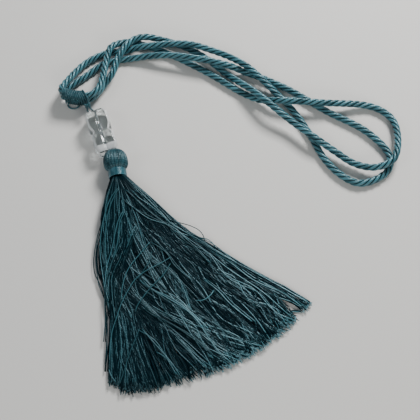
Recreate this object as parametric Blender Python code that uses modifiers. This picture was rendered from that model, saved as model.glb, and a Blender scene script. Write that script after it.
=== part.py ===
"""Curtain tieback tassel, laid out on a flat surface.

A long loop of four-ply rope is pinched at one end by a wound binding, so that it forms two
bights, one leaving each end of the binding. A thin cord passes round the binding, runs down
through a clear bead and carries the tassel: a thread-covered head, a wound neck band and a
long skirt of threads that fans out over the surface.

Units are metres and +Z is up. Places are first given in the layout, whose origin lies between
the loop and the skirt; LAYOUT_ORIGIN moves them so that the part's own origin is at the bottom
centre of everything but the rope.
"""
import math
import random

import bmesh
import bpy
from mathutils import Matrix, Vector

MM = 0.001
GAP = 0.3 * MM

# ---------------------------------------------------------------- driving dimensions
LAYOUT_ORIGIN = Vector((-30.6, -23.45, 0.0)) * MM

# The rope: four plies laid up left-handed.
ROPE_CREST = 3.45 * MM       # radius over a ply
ROPE_VALLEY = 2.75 * MM      # radius in the groove between two plies
ROPE_PLIES = 4
ROPE_LAY = 28.0 * MM         # length of one full turn of a ply
ROPE_STEP = 4.0 * MM         # spacing of the sections along the rope
ROPE_AXIS_MIN = 3.5 * MM     # the rope's axis is never lower than its own radius

# The binding: a wound sleeve round the two rope runs, which lie one over the other.
RUN_RISE = 3.65 * MM         # each run's axis above or below the sleeve's axis
SLEEVE_AXIS_Z = 11.7 * MM
SLEEVE_OUTER = 5.15 * MM     # radius of the sleeve's rounded top and bottom, between two turns
SLEEVE_TURN = 1.06           # a turn stands this much prouder than the groove beside it
SLEEVE_WALL = 1.25 * MM
SLEEVE_PITCH = 2.3 * MM      # spacing of the wound turns

# The thin cord that holds the bead and tassel.
HANGER_RADIUS = 1.0 * MM
HANGER_START = 1.0 * MM      # its ends stand this far out of the bead's lower end
HANGER_STEP = 4.0 * MM       # spacing of its sections
BORE_LEAD = 5.0 * MM         # it runs straight for this far inside the bead's upper end

# The clear bead: two square-cut blocks in one piece, with a V between them.
BEAD_LENGTH = 46.5 * MM
BEAD_WIDTH = 21.5 * MM
BEAD_HEIGHT = 18.0 * MM
BEAD_CHAMFER = 3.0 * MM
BEAD_GROOVE_WIDTH = 4.4 * MM
BEAD_GROOVE_DEPTH = 1.3 * MM
BEAD_WAIST_DEPTH = 3.2 * MM
BEAD_WAIST_WIDTH = 11.0 * MM
BEAD_END_INSET = 2.6 * MM    # each end is drawn in by this much
BEAD_END_TAPER = 5.5 * MM    # over this length
BEAD_BORE_RADIUS = 2.6 * MM
BEAD_BORE_SIDES = 20
BEAD_CENTRE = Vector((-103.2, 77.0, 9.0)) * MM
BEAD_TURN = math.radians(19.3)

# The tassel's head and neck, measured from the crown along an axis that dips to the skirt.
HEAD_CROWN = Vector((-90.0, 56.0, 12.4)) * MM
HEAD_TURN = math.radians(10.3)
HEAD_DIP = math.radians(5.0)
HEAD_RIDGES = 16
HEAD_RIDGE_DEPTH = 0.25 * MM
# Distance from the crown and radius, in millimetres, down to the neck.
HEAD_PROFILE = [
    (0.0, 2.6), (0.8, 5.4), (2.6, 8.0), (6.0, 10.2), (10.0, 11.1), (13.5, 11.2), (16.5, 10.4),
    (19.0, 8.4),
]
NECK_RADIUS = 7.2 * MM
NECK_START = 20.3 * MM
NECK_END = 28.3 * MM
BAND_RADIUS = 8.5 * MM
BAND_BEVEL = 0.3 * MM
BAND_SHOULDER = 0.2          # share of the band's width taken by each rounded shoulder
BAND_STEPS = 28

# The skirt: layers of threads that leave the neck and fan out over the surface.
SKIRT_LAYERS = 3
SKIRT_COLUMNS = 50
LAYER_SHIFT = 0.15           # each layer lies this share of a column beside the one below
# Mean distance of the tips from the neck, in millimetres, from the left edge to the right.
SKIRT_REACHES = [(0.0, 187.0), (0.08, 195.5), (0.4, 195.5), (0.7, 202.0), (1.0, 206.0)]
TIP_SPREAD = 4.5 * MM        # a tip lies up to this far before or beyond the mean
SKIRT_LEFT = math.radians(1.0)        # direction of the left edge's tips, from -Y
SKIRT_RIGHT = math.radians(54.6)      # direction of the right edge's tips
SKIRT_LEFT_SWING = math.radians(-20.0)  # the left edge bows outwards before it comes back
LEFT_SWING_REACH = 130.0 * MM
SKIRT_RIGHT_SWING = math.radians(-8.0)  # the right edge leaves the neck steeply and flares later
RIGHT_SWING_REACH = 180.0 * MM
SKIRT_WAVE = math.radians(0.5)
WAVE_LENGTH = 155.0 * MM
WAVE_END = 180.0 * MM        # past here a thread runs straight to its tip
LAYER_WAVE = 2.1             # each layer's waves are out of step with the one below
SKIRT_ROOT = 13.0 * MM       # how far past the neck the threads are fused together
SKIRT_SETTLE = 85.0 * MM     # distance from the neck at which the threads reach the surface
ROOT_SPREAD = 0.96           # share of the neck's width over which the threads start
ROOT_DRAWN_IN = 0.6          # share of that width that the fan's own spread replaces
ROOT_SHARES = (0.35, 0.7, 1.0)
ROOT_HALF_WIDTH = 0.53       # of the fan's own width, so that it holds the outermost locks
LOCK_STATIONS = (9.5 * MM, 30.0 * MM, 78.0 * MM, 135.0 * MM)   # and the tip
LOCK_FILL = 0.68             # share of the spacing that a lock fills
LOCK_TIP_HEIGHT = 1.5 * MM
LOCK_ROOT_HEIGHT = 3.1 * MM

# ---------------------------------------------------------------- rope routes (layout, mm)
# Each route starts and ends inside the binding. Its points follow the rope from the upper
# run, round its bight, to the lower run.
LEFT_ROUTE = [
    (-131.2, 115.0, 15.3), (-138.0, 116.2, 15.3), (-142.8, 119.0, 15.0), (-144.7, 124.1, 13.9),
    (-142.9, 129.2, 12.3), (-139.5, 136.5, 10.5), (-134.5, 147.5, 6.6), (-124.0, 162.0, 3.5),
    (-105.0, 173.5, 3.5), (-87.0, 175.5, 4.3), (-67.0, 176.5, 10.6), (-23.0, 179.5, 11.2),
    (2.0, 173.5, 8.4), (21.0, 163.5, 10.0), (36.5, 151.5, 12.0), (53.0, 136.5, 8.6),
    (67.0, 123.0, 3.6), (83.0, 102.0, 3.5), (96.0, 78.0, 3.5), (108.0, 52.0, 3.5),
    (122.0, 35.0, 3.5), (138.0, 26.0, 3.5), (156.0, 30.5, 3.5), (168.5, 42.0, 3.5),
    (169.5, 57.0, 3.5), (150.5, 81.5, 3.5), (113.0, 105.0, 3.5), (73.0, 132.5, 3.5),
    (38.0, 149.0, 3.5), (14.5, 154.5, 11.2), (-41.0, 165.5, 11.2), (-82.0, 166.5, 3.6),
    (-106.0, 160.5, 3.5), (-124.0, 145.5, 3.5), (-134.5, 136.5, 3.5), (-141.5, 129.5, 4.4),
    (-144.7, 124.1, 6.6), (-142.8, 119.0, 7.8), (-138.0, 116.2, 8.0), (-131.2, 115.0, 8.0),
]
RIGHT_ROUTE = [
    (-130.8, 115.0, 15.3), (-125.0, 114.3, 15.3), (-120.0, 114.8, 15.3), (-114.2, 116.7, 15.3),
    (-108.3, 123.4, 15.2), (-105.6, 134.0, 14.3), (-103.3, 157.0, 11.6), (-99.5, 175.5, 11.0),
    (-83.0, 187.5, 3.5), (-67.0, 183.5, 3.5), (-36.0, 169.7, 3.5), (-2.0, 149.5, 3.5),
    (34.0, 124.5, 3.5), (52.0, 115.5, 5.8), (65.0, 112.5, 10.8), (108.0, 109.5, 11.3),
    (160.0, 109.0, 3.5), (177.5, 92.5, 4.4), (172.0, 48.0, 11.3), (154.5, 40.0, 8.8),
    (136.0, 45.0, 6.2), (117.5, 57.5, 8.0), (98.0, 71.5, 11.3), (78.0, 88.5, 11.4),
    (58.0, 105.5, 14.9), (43.0, 121.5, 12.4), (16.5, 148.0, 3.8), (-7.5, 170.0, 3.5),
    (-27.5, 182.0, 3.5), (-49.0, 190.0, 3.8), (-65.0, 190.3, 8.4), (-75.0, 185.8, 11.4),
    (-83.5, 177.5, 12.8), (-90.5, 164.0, 12.5), (-97.0, 145.0, 8.8), (-103.7, 134.2, 7.0),
    (-110.6, 123.2, 7.2), (-115.6, 116.6, 7.8), (-120.0, 114.8, 8.0), (-130.8, 115.0, 8.0),
]
# The sleeve's axis seen from above, from its right end round to its left end, where the last
# sections are left off.
SLEEVE_ROUTE = [
    (-120.0, 114.8), (-125.0, 114.3), (-131.0, 115.0), (-138.0, 116.2), (-142.8, 119.0),
    (-144.7, 124.1),
]
SLEEVE_LEFT_OFF = 5
# The thin cord's way round the binding, from the bead's upper end and back to it.
HANGER_ROUTE = [
    (-119.4, 104.6, 3.0), (-121.2, 109.6, 1.0), (-122.0, 114.6, 1.0), (-122.6, 119.6, 2.4),
    (-122.8, 121.6, 7.5), (-122.8, 121.6, 15.8), (-122.6, 119.6, 21.3), (-121.8, 115.2, 22.5),
    (-120.8, 110.2, 21.5), (-119.2, 106.4, 17.4), (-115.6, 102.8, 12.4),
]


# ---------------------------------------------------------------- scene and materials
def clear_scene():
    for old in list(bpy.data.objects):
        bpy.data.objects.remove(old, do_unlink=True)


def new_collection(name):
    collection = bpy.data.collections.new(name)
    bpy.context.scene.collection.children.link(collection)
    return collection


def principled(name, colour, roughness, transmission=0.0):
    material = bpy.data.materials.new(name)
    material.use_nodes = True
    shader = material.node_tree.nodes["Principled BSDF"]
    shader.inputs["Base Color"].default_value = (*colour, 1.0)
    shader.inputs["Roughness"].default_value = roughness
    shader.inputs["Metallic"].default_value = 0.0
    shader.inputs["Transmission Weight"].default_value = transmission
    return material


def place(x, y, z):
    """A layout place in millimetres as a vector in the part's frame."""
    return Vector((x, y, z)) * MM - LAYOUT_ORIGIN


def standing_along(centre, axis):
    """A placing that turns an object's own Z along an axis."""
    return Matrix.Translation(centre) @ axis.to_track_quat("Z", "Y").to_matrix().to_4x4()


def add_object(name, data, collection, material):
    obj = bpy.data.objects.new(name, data)
    collection.objects.link(obj)
    data.materials.append(material)
    return obj


def mesh_object(name, bm, collection, material):
    bmesh.ops.recalc_face_normals(bm, faces=bm.faces)
    mesh = bpy.data.meshes.new(name)
    bm.to_mesh(mesh)
    bm.free()
    return add_object(name, mesh, collection, material)


def shade_round(mesh, sharp_angle):
    """Shade a mesh smooth but for its edges sharper than an angle in degrees."""
    mesh.shade_smooth()
    mesh.set_sharp_from_angle(angle=math.radians(sharp_angle))


# ---------------------------------------------------------------- curves
def between(p0, p1, p2, p3, share):
    """A point between p1 and p2 on the centripetal Catmull-Rom curve through all four."""
    t0 = 0.0
    t1 = t0 + math.sqrt((p1 - p0).length)
    t2 = t1 + math.sqrt((p2 - p1).length)
    t3 = t2 + math.sqrt((p3 - p2).length)
    t = t1 + (t2 - t1) * share
    a1 = p0.lerp(p1, (t - t0) / (t1 - t0))
    a2 = p1.lerp(p2, (t - t1) / (t2 - t1))
    a3 = p2.lerp(p3, (t - t2) / (t3 - t2))
    b1 = a1.lerp(a2, (t - t0) / (t2 - t0))
    b2 = a2.lerp(a3, (t - t1) / (t3 - t1))
    return b1.lerp(b2, (t - t1) / (t2 - t1))


def smooth_curve(points, spacing):
    """Evenly spaced points on the smooth curve through the given ones."""
    ends = [points[0] * 2 - points[1]] + points + [points[-1] * 2 - points[-2]]
    fine = []
    for i in range(1, len(ends) - 2):
        fine += [between(*ends[i - 1:i + 3], step / 12) for step in range(12)]
    fine.append(points[-1])
    reach = [0.0]
    for a, b in zip(fine, fine[1:]):
        reach.append(reach[-1] + (b - a).length)
    count = max(2, round(reach[-1] / spacing))
    even = []
    i = 0
    for step in range(count + 1):
        goal = reach[-1] * step / count
        while i < len(fine) - 2 and reach[i + 1] < goal:
            i += 1
        even.append(fine[i].lerp(fine[i + 1], (goal - reach[i]) / (reach[i + 1] - reach[i])))
    return even


def section_guide(name, outline, collection):
    """A closed flat curve, drawn clockwise, that gives a swept curve its section."""
    curve = bpy.data.curves.new(name, "CURVE")
    curve.dimensions = "2D"
    spline = curve.splines.new("POLY")
    spline.points.add(len(outline) - 1)
    for point, (x, y) in zip(spline.points, reversed(outline)):
        point.co = (x, y, 0.0, 1.0)
    spline.use_cyclic_u = True
    guide = bpy.data.objects.new(name, curve)
    guide.hide_render = True
    guide.display_type = "WIRE"
    collection.objects.link(guide)
    return guide


def swept(name, path, collection, material, section=None, radius=0.0, twist=0.0,
          sizes=None, capped=True, upright=False):
    """A section, or a round of the given radius, swept along a path of points."""
    curve = bpy.data.curves.new(name, "CURVE")
    curve.dimensions = "3D"
    curve.twist_mode = "Z_UP" if upright else "MINIMUM"
    spline = curve.splines.new("POLY")
    spline.points.add(len(path) - 1)
    for i, (point, co) in enumerate(zip(spline.points, path)):
        point.co = (*co, 1.0)
        point.tilt = twist * i
        point.radius = sizes[i] if sizes else 1.0
    if section:
        curve.bevel_mode = "OBJECT"
        curve.bevel_object = section
    else:
        curve.bevel_depth = radius
        curve.bevel_resolution = 2
    curve.use_fill_caps = capped
    return add_object(name, curve, collection, material)


# ---------------------------------------------------------------- rope
def rope_section(collection):
    count = ROPE_PLIES * 2
    outline = []
    for i in range(count):
        angle = 2 * math.pi * i / count
        r = ROPE_CREST if i % 2 == 0 else ROPE_VALLEY
        outline.append((r * math.cos(angle), r * math.sin(angle)))
    return section_guide("rope_section", outline, collection)


def rope(name, route, section, collection, material):
    path = smooth_curve([place(*p) for p in route], ROPE_STEP)
    for point in path:
        point.z = max(point.z, ROPE_AXIS_MIN)
    step = (path[1] - path[0]).length
    twist = -2 * math.pi * step / ROPE_LAY
    return swept(name, path, collection, material, section=section, twist=twist)


# ---------------------------------------------------------------- binding and hanging cord
def sleeve_section(collection):
    """A tall rounded slot, six points round each end."""
    outline = []
    for i in range(12):
        angle = 2 * math.pi * (i + 0.5) / 12
        rise = RUN_RISE if math.sin(angle) > 0 else -RUN_RISE
        outline.append((SLEEVE_OUTER * math.cos(angle), SLEEVE_OUTER * math.sin(angle) + rise))
    return section_guide("sleeve_section", outline, collection)


def binding(section, collection, material):
    axis_z = SLEEVE_AXIS_Z / MM
    path = smooth_curve([place(x, y, axis_z) for x, y in SLEEVE_ROUTE], SLEEVE_PITCH / 2)
    path = path[:-SLEEVE_LEFT_OFF]
    sizes = [SLEEVE_TURN if i % 2 else 1.0 for i in range(len(path))]
    obj = swept("binding", path, collection, material, section=section, sizes=sizes,
                capped=False, upright=True)
    wall = obj.modifiers.new("wall", "SOLIDIFY")
    wall.thickness = SLEEVE_WALL
    wall.offset = -1.0
    return obj


def hanging_cord(collection, material):
    """Both ends start at the head, pass up the bead's bore and join round the binding."""
    axis, side = bead_axes()
    centre = BEAD_CENTRE - LAYOUT_ORIGIN
    half = BEAD_LENGTH / 2
    apart = side * (HANGER_RADIUS + GAP / 2)
    stops = (half + HANGER_START, 0.0, BORE_LEAD - half, -half)
    through = [centre + axis * along for along in stops]
    path = [point - apart for point in through] + [place(*p) for p in HANGER_ROUTE]
    path += [point + apart for point in reversed(through)]
    path = smooth_curve(path, HANGER_STEP)
    for point in path:
        point.z = max(point.z, HANGER_RADIUS)
    return swept("hanging_cord", path, collection, material, radius=HANGER_RADIUS)


# ---------------------------------------------------------------- bead
def bead_axes():
    """The bead's long axis, pointing to the tassel, and its level side axis."""
    axis = Vector((math.sin(BEAD_TURN), -math.cos(BEAD_TURN), 0.0))
    side = Vector((math.cos(BEAD_TURN), math.sin(BEAD_TURN), 0.0))
    return axis, side


def bead_outline(inset):
    """A chamfered rectangle with a V groove in the middle of each face."""
    a = BEAD_WIDTH / 2 - inset
    b = BEAD_HEIGHT / 2 - inset
    c = BEAD_CHAMFER
    g = BEAD_GROOVE_WIDTH / 2
    d = BEAD_GROOVE_DEPTH
    corner = [(a - d, 0.0), (a, g), (a, b - c), (a - c, b), (g, b), (0.0, b - d)]
    right = corner + [(-x, y) for x, y in reversed(corner[:-1])]
    return right + [(x, -y) for x, y in reversed(right[1:-1])]


def bead(collection, cutters, material):
    half = BEAD_LENGTH / 2
    stations = [
        (-half, BEAD_END_INSET), (-half + BEAD_END_TAPER, 0.0), (-BEAD_WAIST_WIDTH / 2, 0.0),
        (0.0, BEAD_WAIST_DEPTH), (BEAD_WAIST_WIDTH / 2, 0.0), (half - BEAD_END_TAPER, 0.0),
        (half, BEAD_END_INSET),
    ]
    axis, side = bead_axes()
    centre = BEAD_CENTRE - LAYOUT_ORIGIN
    rings = []
    for along, inset in stations:
        middle = centre + axis * along
        rings.append([middle + side * x + Vector((0, 0, y)) for x, y in bead_outline(inset)])
    bm = bmesh.new()
    loft(bm, rings)
    obj = mesh_object("bead", bm, collection, material)
    bpy.ops.mesh.primitive_cylinder_add(vertices=BEAD_BORE_SIDES, radius=BEAD_BORE_RADIUS,
                                        depth=BEAD_LENGTH * 1.2)
    cutter = bpy.context.object
    cutter.name = "bead_bore"
    cutter.matrix_world = standing_along(centre, axis)
    cutter.hide_render = True
    cutter.display_type = "WIRE"
    for owner in list(cutter.users_collection):
        owner.objects.unlink(cutter)
    cutters.objects.link(cutter)
    bore = obj.modifiers.new("bore", "BOOLEAN")
    bore.operation = "DIFFERENCE"
    bore.object = cutter
    return obj


# ---------------------------------------------------------------- tassel
def loft(bm, rings):
    """Join closed rings of the same count in a row, and close both ends."""
    rows = [[bm.verts.new(co) for co in ring] for ring in rings]
    count = len(rows[0])
    for a, b in zip(rows, rows[1:]):
        for i in range(count):
            j = (i + 1) % count
            bm.faces.new((a[i], a[j], b[j], b[i]))
    bm.faces.new(reversed(rows[0]))
    bm.faces.new(rows[-1])


def smooth_step(x):
    x = min(max(x, 0.0), 1.0)
    return x * x * (3 - 2 * x)


def head_axes():
    """The head's axis, its level side axis and its upward axis."""
    flat = math.cos(HEAD_DIP)
    axis = Vector((math.sin(HEAD_TURN) * flat, -math.cos(HEAD_TURN) * flat, -math.sin(HEAD_DIP)))
    side = Vector((math.cos(HEAD_TURN), math.sin(HEAD_TURN), 0.0))
    return axis, side, side.cross(axis)


def neck_point():
    axis = head_axes()[0]
    return HEAD_CROWN - LAYOUT_ORIGIN + axis * NECK_END


def fan_direction(across, reach, wave):
    """The direction, from -Y, in which a thread lies at a distance from the neck."""
    angle = SKIRT_LEFT + (SKIRT_RIGHT - SKIRT_LEFT) * across
    angle += SKIRT_LEFT_SWING * max(0.0, 1.0 - reach / LEFT_SWING_REACH) * max(0.0, 1.0 - across) ** 3
    angle += SKIRT_RIGHT_SWING * max(0.0, 1.0 - reach / RIGHT_SWING_REACH) * across ** 3
    waving = min(reach, WAVE_END)
    ripple = math.sin(2 * math.pi * (waving / WAVE_LENGTH + across * 2) + wave)
    return angle + SKIRT_WAVE * ripple * smooth_step(reach / SKIRT_SETTLE)


def fan_point(across, reach, wave=0.0):
    """The place, seen from above, of a thread at a distance from the neck."""
    side = head_axes()[1]
    angle = fan_direction(across, reach, wave)
    at_neck = side * (across * 2 - 1) * NECK_RADIUS * ROOT_SPREAD
    spread = Vector((math.sin(angle), -math.cos(angle), 0.0)) * reach
    root = neck_point() + at_neck * (1 - ROOT_DRAWN_IN * smooth_step(reach / SKIRT_SETTLE))
    return Vector((root.x + spread.x, root.y + spread.y, 0.0))


def tip_reach(across):
    """The mean distance of the tips from the neck."""
    for (a, low), (b, high) in zip(SKIRT_REACHES, SKIRT_REACHES[1:]):
        if across <= b:
            return (low + (high - low) * (across - a) / (b - a)) * MM
    return SKIRT_REACHES[-1][1] * MM


def head_rings(count):
    """Sections of the head and of the neck below it."""
    neck = [(NECK_START / MM, NECK_RADIUS / MM), (NECK_END / MM, NECK_RADIUS / MM)]
    axis, side, up = head_axes()
    rings = []
    for along, radius in HEAD_PROFILE + neck:
        ring = []
        for i in range(count):
            angle = 2 * math.pi * i / count
            ridge = HEAD_RIDGE_DEPTH if i % 2 and (along, radius) not in neck else 0.0
            r = radius * MM - ridge
            out = side * math.cos(angle) * r + up * math.sin(angle) * r
            ring.append(HEAD_CROWN - LAYOUT_ORIGIN + axis * along * MM + out)
        rings.append(ring)
    return rings


def root_rings(count):
    """Sections that open from the round neck into the fused roots of the skirt.

    Each lies in an upright plane square to the middle of the fan, so that the last is flat.
    """
    neck = neck_point()
    angle = fan_direction(0.5, SKIRT_ROOT, 0.0)
    heading = Vector((math.sin(angle), -math.cos(angle), 0.0))
    rings = []
    for share in ROOT_SHARES:
        squareness = 1.0 - 0.8 * share
        ahead = SKIRT_ROOT * share
        ring = []
        for i in range(count):
            turn = 2 * math.pi * i / count
            c = math.cos(turn)
            s = math.sin(turn)
            across = 0.5 + ROOT_HALF_WIDTH * math.copysign(abs(c) ** (0.3 + 0.7 * squareness), c)
            reach = ahead
            for _ in range(8):
                reach += ahead - (fan_point(across, reach) - neck).dot(heading)
            point = fan_point(across, reach)
            point += heading * (ahead - (point - neck).dot(heading))
            point.z = neck.z + NECK_RADIUS * math.copysign(abs(s) ** squareness, s)
            ring.append(point)
        rings.append(ring)
    return rings


def lock(bm, across, layer, length):
    """One lock of skirt threads: a three-sided strand, tall at its root and flat at its tip."""
    wave = layer * LAYER_WAVE
    nearby = 0.01
    rings = []
    for reach in (*LOCK_STATIONS, length):
        spacing = fan_point(across + nearby, reach) - fan_point(across - nearby, reach)
        width = spacing.length / (2 * nearby) / SKIRT_COLUMNS * LOCK_FILL
        settle = smooth_step(reach / SKIRT_SETTLE)
        height = LOCK_ROOT_HEIGHT + (LOCK_TIP_HEIGHT - LOCK_ROOT_HEIGHT) * settle
        at_root = neck_point().z + (layer - SKIRT_LAYERS / 2) * (LOCK_ROOT_HEIGHT + GAP)
        at_rest = layer * (LOCK_TIP_HEIGHT + GAP)
        angle = fan_direction(across, reach, wave)
        side = Vector((math.cos(angle), math.sin(angle), 0.0)) * width / 2
        middle = fan_point(across, reach, wave)
        middle.z = at_root + (at_rest - at_root) * settle
        rings.append([middle - side, middle + side, middle + Vector((0, 0, height))])
    loft(bm, rings)


def skirt_locks(cutters, material):
    random.seed(5)
    bm = bmesh.new()
    for layer in range(SKIRT_LAYERS):
        for column in range(SKIRT_COLUMNS):
            across = (column + 0.5 + LAYER_SHIFT * layer) / SKIRT_COLUMNS
            length = tip_reach(across) + random.uniform(-1, 1) * TIP_SPREAD
            lock(bm, across, layer, length)
    obj = mesh_object("skirt_locks", bm, cutters, material)
    obj.hide_render = True
    obj.display_type = "WIRE"
    return obj


def tassel(collection, cutters, material):
    count = HEAD_RIDGES * 2
    bm = bmesh.new()
    loft(bm, head_rings(count) + root_rings(count))
    obj = mesh_object("tassel", bm, collection, material)
    shade_round(obj.data, 40)
    fuse = obj.modifiers.new("fuse_locks", "BOOLEAN")
    fuse.operation = "UNION"
    fuse.object = skirt_locks(cutters, material)
    return obj


def neck_band(collection, material):
    """A turned ring of wound thread, a gap clear of the neck that it grips."""
    inner = NECK_RADIUS + GAP
    width = NECK_END - NECK_START - GAP
    profile = [
        (inner, width), (BAND_RADIUS - BAND_BEVEL, width),
        (BAND_RADIUS, width * (1 - BAND_SHOULDER)), (BAND_RADIUS, width * BAND_SHOULDER),
        (BAND_RADIUS - BAND_BEVEL, 0.0), (inner, 0.0),
    ]
    bm = bmesh.new()
    verts = [bm.verts.new((r, 0.0, z)) for r, z in profile]
    for a, b in zip(verts, verts[1:] + verts[:1]):
        bm.edges.new((a, b))
    mesh = bpy.data.meshes.new("neck_band")
    bm.to_mesh(mesh)
    bm.free()
    obj = add_object("neck_band", mesh, collection, material)
    turn = obj.modifiers.new("turn", "SCREW")
    turn.steps = BAND_STEPS
    turn.render_steps = BAND_STEPS
    turn.use_merge_vertices = True
    turn.merge_threshold = 0.05 * MM
    axis = head_axes()[0]
    start = HEAD_CROWN - LAYOUT_ORIGIN + axis * NECK_START
    obj.matrix_world = standing_along(start, axis)
    return obj


# ---------------------------------------------------------------- the whole tieback
def build():
    clear_scene()
    parts = new_collection("curtain_tieback_tassel")
    guides = new_collection("guides_and_cutters")
    rope_teal = principled("rope_teal_rayon", (0.030, 0.125, 0.150), 0.45)
    bind_teal = principled("binding_teal_cord", (0.026, 0.105, 0.125), 0.55)
    hang_teal = principled("hanging_teal_cord", (0.028, 0.115, 0.140), 0.55)
    head_teal = principled("tassel_teal_thread", (0.018, 0.090, 0.105), 0.42)
    band_teal = principled("band_teal_thread", (0.045, 0.170, 0.195), 0.32)
    clear_acrylic = principled("bead_clear_acrylic", (0.90, 0.91, 0.92), 0.06, 0.9)

    section = rope_section(guides)
    rope("left_bight_rope", LEFT_ROUTE, section, parts, rope_teal)
    rope("right_bight_rope", RIGHT_ROUTE, section, parts, rope_teal)
    binding(sleeve_section(guides), parts, bind_teal)
    hanging_cord(parts, hang_teal)
    bead(parts, guides, clear_acrylic)
    tassel(parts, guides, head_teal)
    neck_band(parts, band_teal)


build()
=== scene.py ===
"""The looks of a curtain tieback tassel that lies on a plain pale floor.

Twisted rayon rope in two long bights, a binding wound from fine cord, a clear acrylic bead on a
doubled fine cord, and a tassel: a head covered in threads, a wound neck band and a long skirt.

Everything is in metres. Places are given in the layout, in millimetres, whose origin lies between
the rope and the skirt; place() turns them into the part's own frame.
"""
import math
import random

import bmesh
import bpy
from mathutils import Matrix, Vector
from mathutils.kdtree import KDTree


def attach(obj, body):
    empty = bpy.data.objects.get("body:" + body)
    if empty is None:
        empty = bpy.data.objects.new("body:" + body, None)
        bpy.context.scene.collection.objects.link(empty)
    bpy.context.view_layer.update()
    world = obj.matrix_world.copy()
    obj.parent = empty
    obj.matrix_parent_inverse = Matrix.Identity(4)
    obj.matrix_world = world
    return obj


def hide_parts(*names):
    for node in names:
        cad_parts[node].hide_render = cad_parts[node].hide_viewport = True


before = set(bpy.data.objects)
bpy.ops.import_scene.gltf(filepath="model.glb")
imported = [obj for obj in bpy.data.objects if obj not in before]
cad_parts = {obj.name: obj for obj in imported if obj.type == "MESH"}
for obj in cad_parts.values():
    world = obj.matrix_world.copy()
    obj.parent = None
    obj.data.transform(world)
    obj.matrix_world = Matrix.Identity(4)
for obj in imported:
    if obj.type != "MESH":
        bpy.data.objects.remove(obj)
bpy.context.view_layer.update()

MM = 0.001
LAYOUT_ORIGIN = Vector((-30.6, -23.45, 0.0)) * MM

# The photograph looks down at 65 degrees, from 0.7 m, at the middle of the layout.
CAMERA_ELEVATION = 65.0
CAMERA_DISTANCE = 0.70
CAMERA_LENS = 65.14

# The studio. A soft box has its name, place and width in metres, power in watts, and tint.
SOFT_BOXES = [
    ("key_softbox", (0.50, 0.90, 0.85), 0.38, 23.0, "#FFFFFF"),
    ("fill_softbox", (-0.85, -0.35, 0.90), 0.60, 3.0, "#F2F7FF"),
    ("front_softbox", (0.45, -0.95, 0.60), 0.40, 5.0, "#FFFDF8"),
]
SKY_STRENGTH = 0.22
FLOOR_SIZE = 8.0
FLOOR_Z = -0.0002  # just under the pieces that lie on it

SPAN_STEPS = 12  # of a smooth curve, from one given point to the next

# Four plies of rayon yarn, laid up left-handed into a 7 mm rope.
ROPE_PLIES = 4
PLY_RADIUS = 1.45 * MM
PLY_OFFSET = 2.00 * MM  # from the rope's axis to a ply's
ROPE_SHADED_TO = 2.45 * MM  # painted shade: the yarns are painted dark up to here, in the grooves, and light from the crest on
ROPE_LIT_FROM = 3.10 * MM
ROPE_LAY = 28.0 * MM  # a ply goes round once in this length
ROPE_STEP = 1.75 * MM
ROPE_CREST_STEP = ROPE_STEP / 4
ROPE_AXIS_MIN = 3.5 * MM  # the rope's axis is never lower than its own radius

# The fine cord of the binding, of the hanging loop and of the small loop below the binding.
FINE_PLIES = 3
FINE_PLY_RADIUS = 0.42 * MM
FINE_PLY_OFFSET = 0.40 * MM
FINE_LAY = 4.4 * MM
FINE_STEP = 0.7 * MM
FINE_CREST_STEP = FINE_STEP / 3

# The binding goes round two rope runs, one above the other.
RUN_RISE = 3.65 * MM  # each run's axis above or below the binding's
BINDING_AXIS_Z = 11.7 * MM
BINDING_AXIS_STEP = 0.5 * MM
BINDING_RADIUS = 4.70 * MM  # of the cord's axis round the top run and the bottom run
BINDING_PITCH = 1.80 * MM
BINDING_LEAN = 0.66
BINDING_CLIMB = 2.2  # how steeply a turn runs up the straight sides
BINDING_START = 2.6 * MM  # how far along its route the winding starts
BINDING_LENGTH = 22.5 * MM  # and how far it goes

# The clear bead.
BEAD_LENGTH = 46.5 * MM
BEAD_WIDTH = 21.5 * MM
BEAD_HEIGHT = 18.0 * MM
BEAD_CHAMFER = 3.0 * MM
BEAD_GROOVE_HALF = 2.2 * MM
BEAD_GROOVE_DEPTH = 1.3 * MM
BEAD_WAIST_HALF = 5.5 * MM
BEAD_WAIST_DEPTH = 3.2 * MM
BEAD_END_INSET = 2.6 * MM
BEAD_END_TAPER = 5.5 * MM
BEAD_EDGE = 0.45 * MM  # width of its polished edges
BEAD_BORE_RADIUS = 2.6 * MM
BEAD_NEAR = 0.01 * MM  # a point this near to a plane counts as on it
BEAD_CENTRE = Vector((-103.2, 77.0, 9.0)) * MM - LAYOUT_ORIGIN
BEAD_TURN = math.radians(19.3)

# The hanging cord and its knot.
HANGER_APART = 1.1  # mm from the bore's axis to each of the two cords in it
HANGER_END = 1.0 * MM  # its ends stand this far out of the bead's lower end
HANGER_AXIS_MIN = 1.0 * MM
BORE_LEAD = 5.0 * MM  # it runs straight for this far inside the bead's upper end
KNOT_CENTRE = (-118.3, 104.9, 13.6)
KNOT_SIZE = 0.98 * MM
KNOT_DEPTH = 1.3
KNOT_STEPS = 60

# The tassel's head and neck, measured from the crown along an axis that dips to the skirt.
HEAD_CROWN = Vector((-90.0, 56.0, 12.4)) * MM - LAYOUT_ORIGIN
HEAD_TURN = math.radians(10.3)
HEAD_DIP = math.radians(5.0)
NECK_RADIUS = 7.2 * MM
NECK_START = 20.3 * MM
NECK_END = 28.3 * MM

# The threads over the head. A layer has its count and its depth under the outside, in mm.
HEAD_THREAD_RADIUS = 0.36 * MM
HEAD_LAYERS = [(90, 0.9), (112, 0.4)]
HEAD_LEAN = 0.10  # radians: how far threads drift round the head, as a standard deviation
HEAD_SWAY = 0.03
HEAD_LIFT = 0.35  # mm: the most that a thread stands out at its middle

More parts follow.
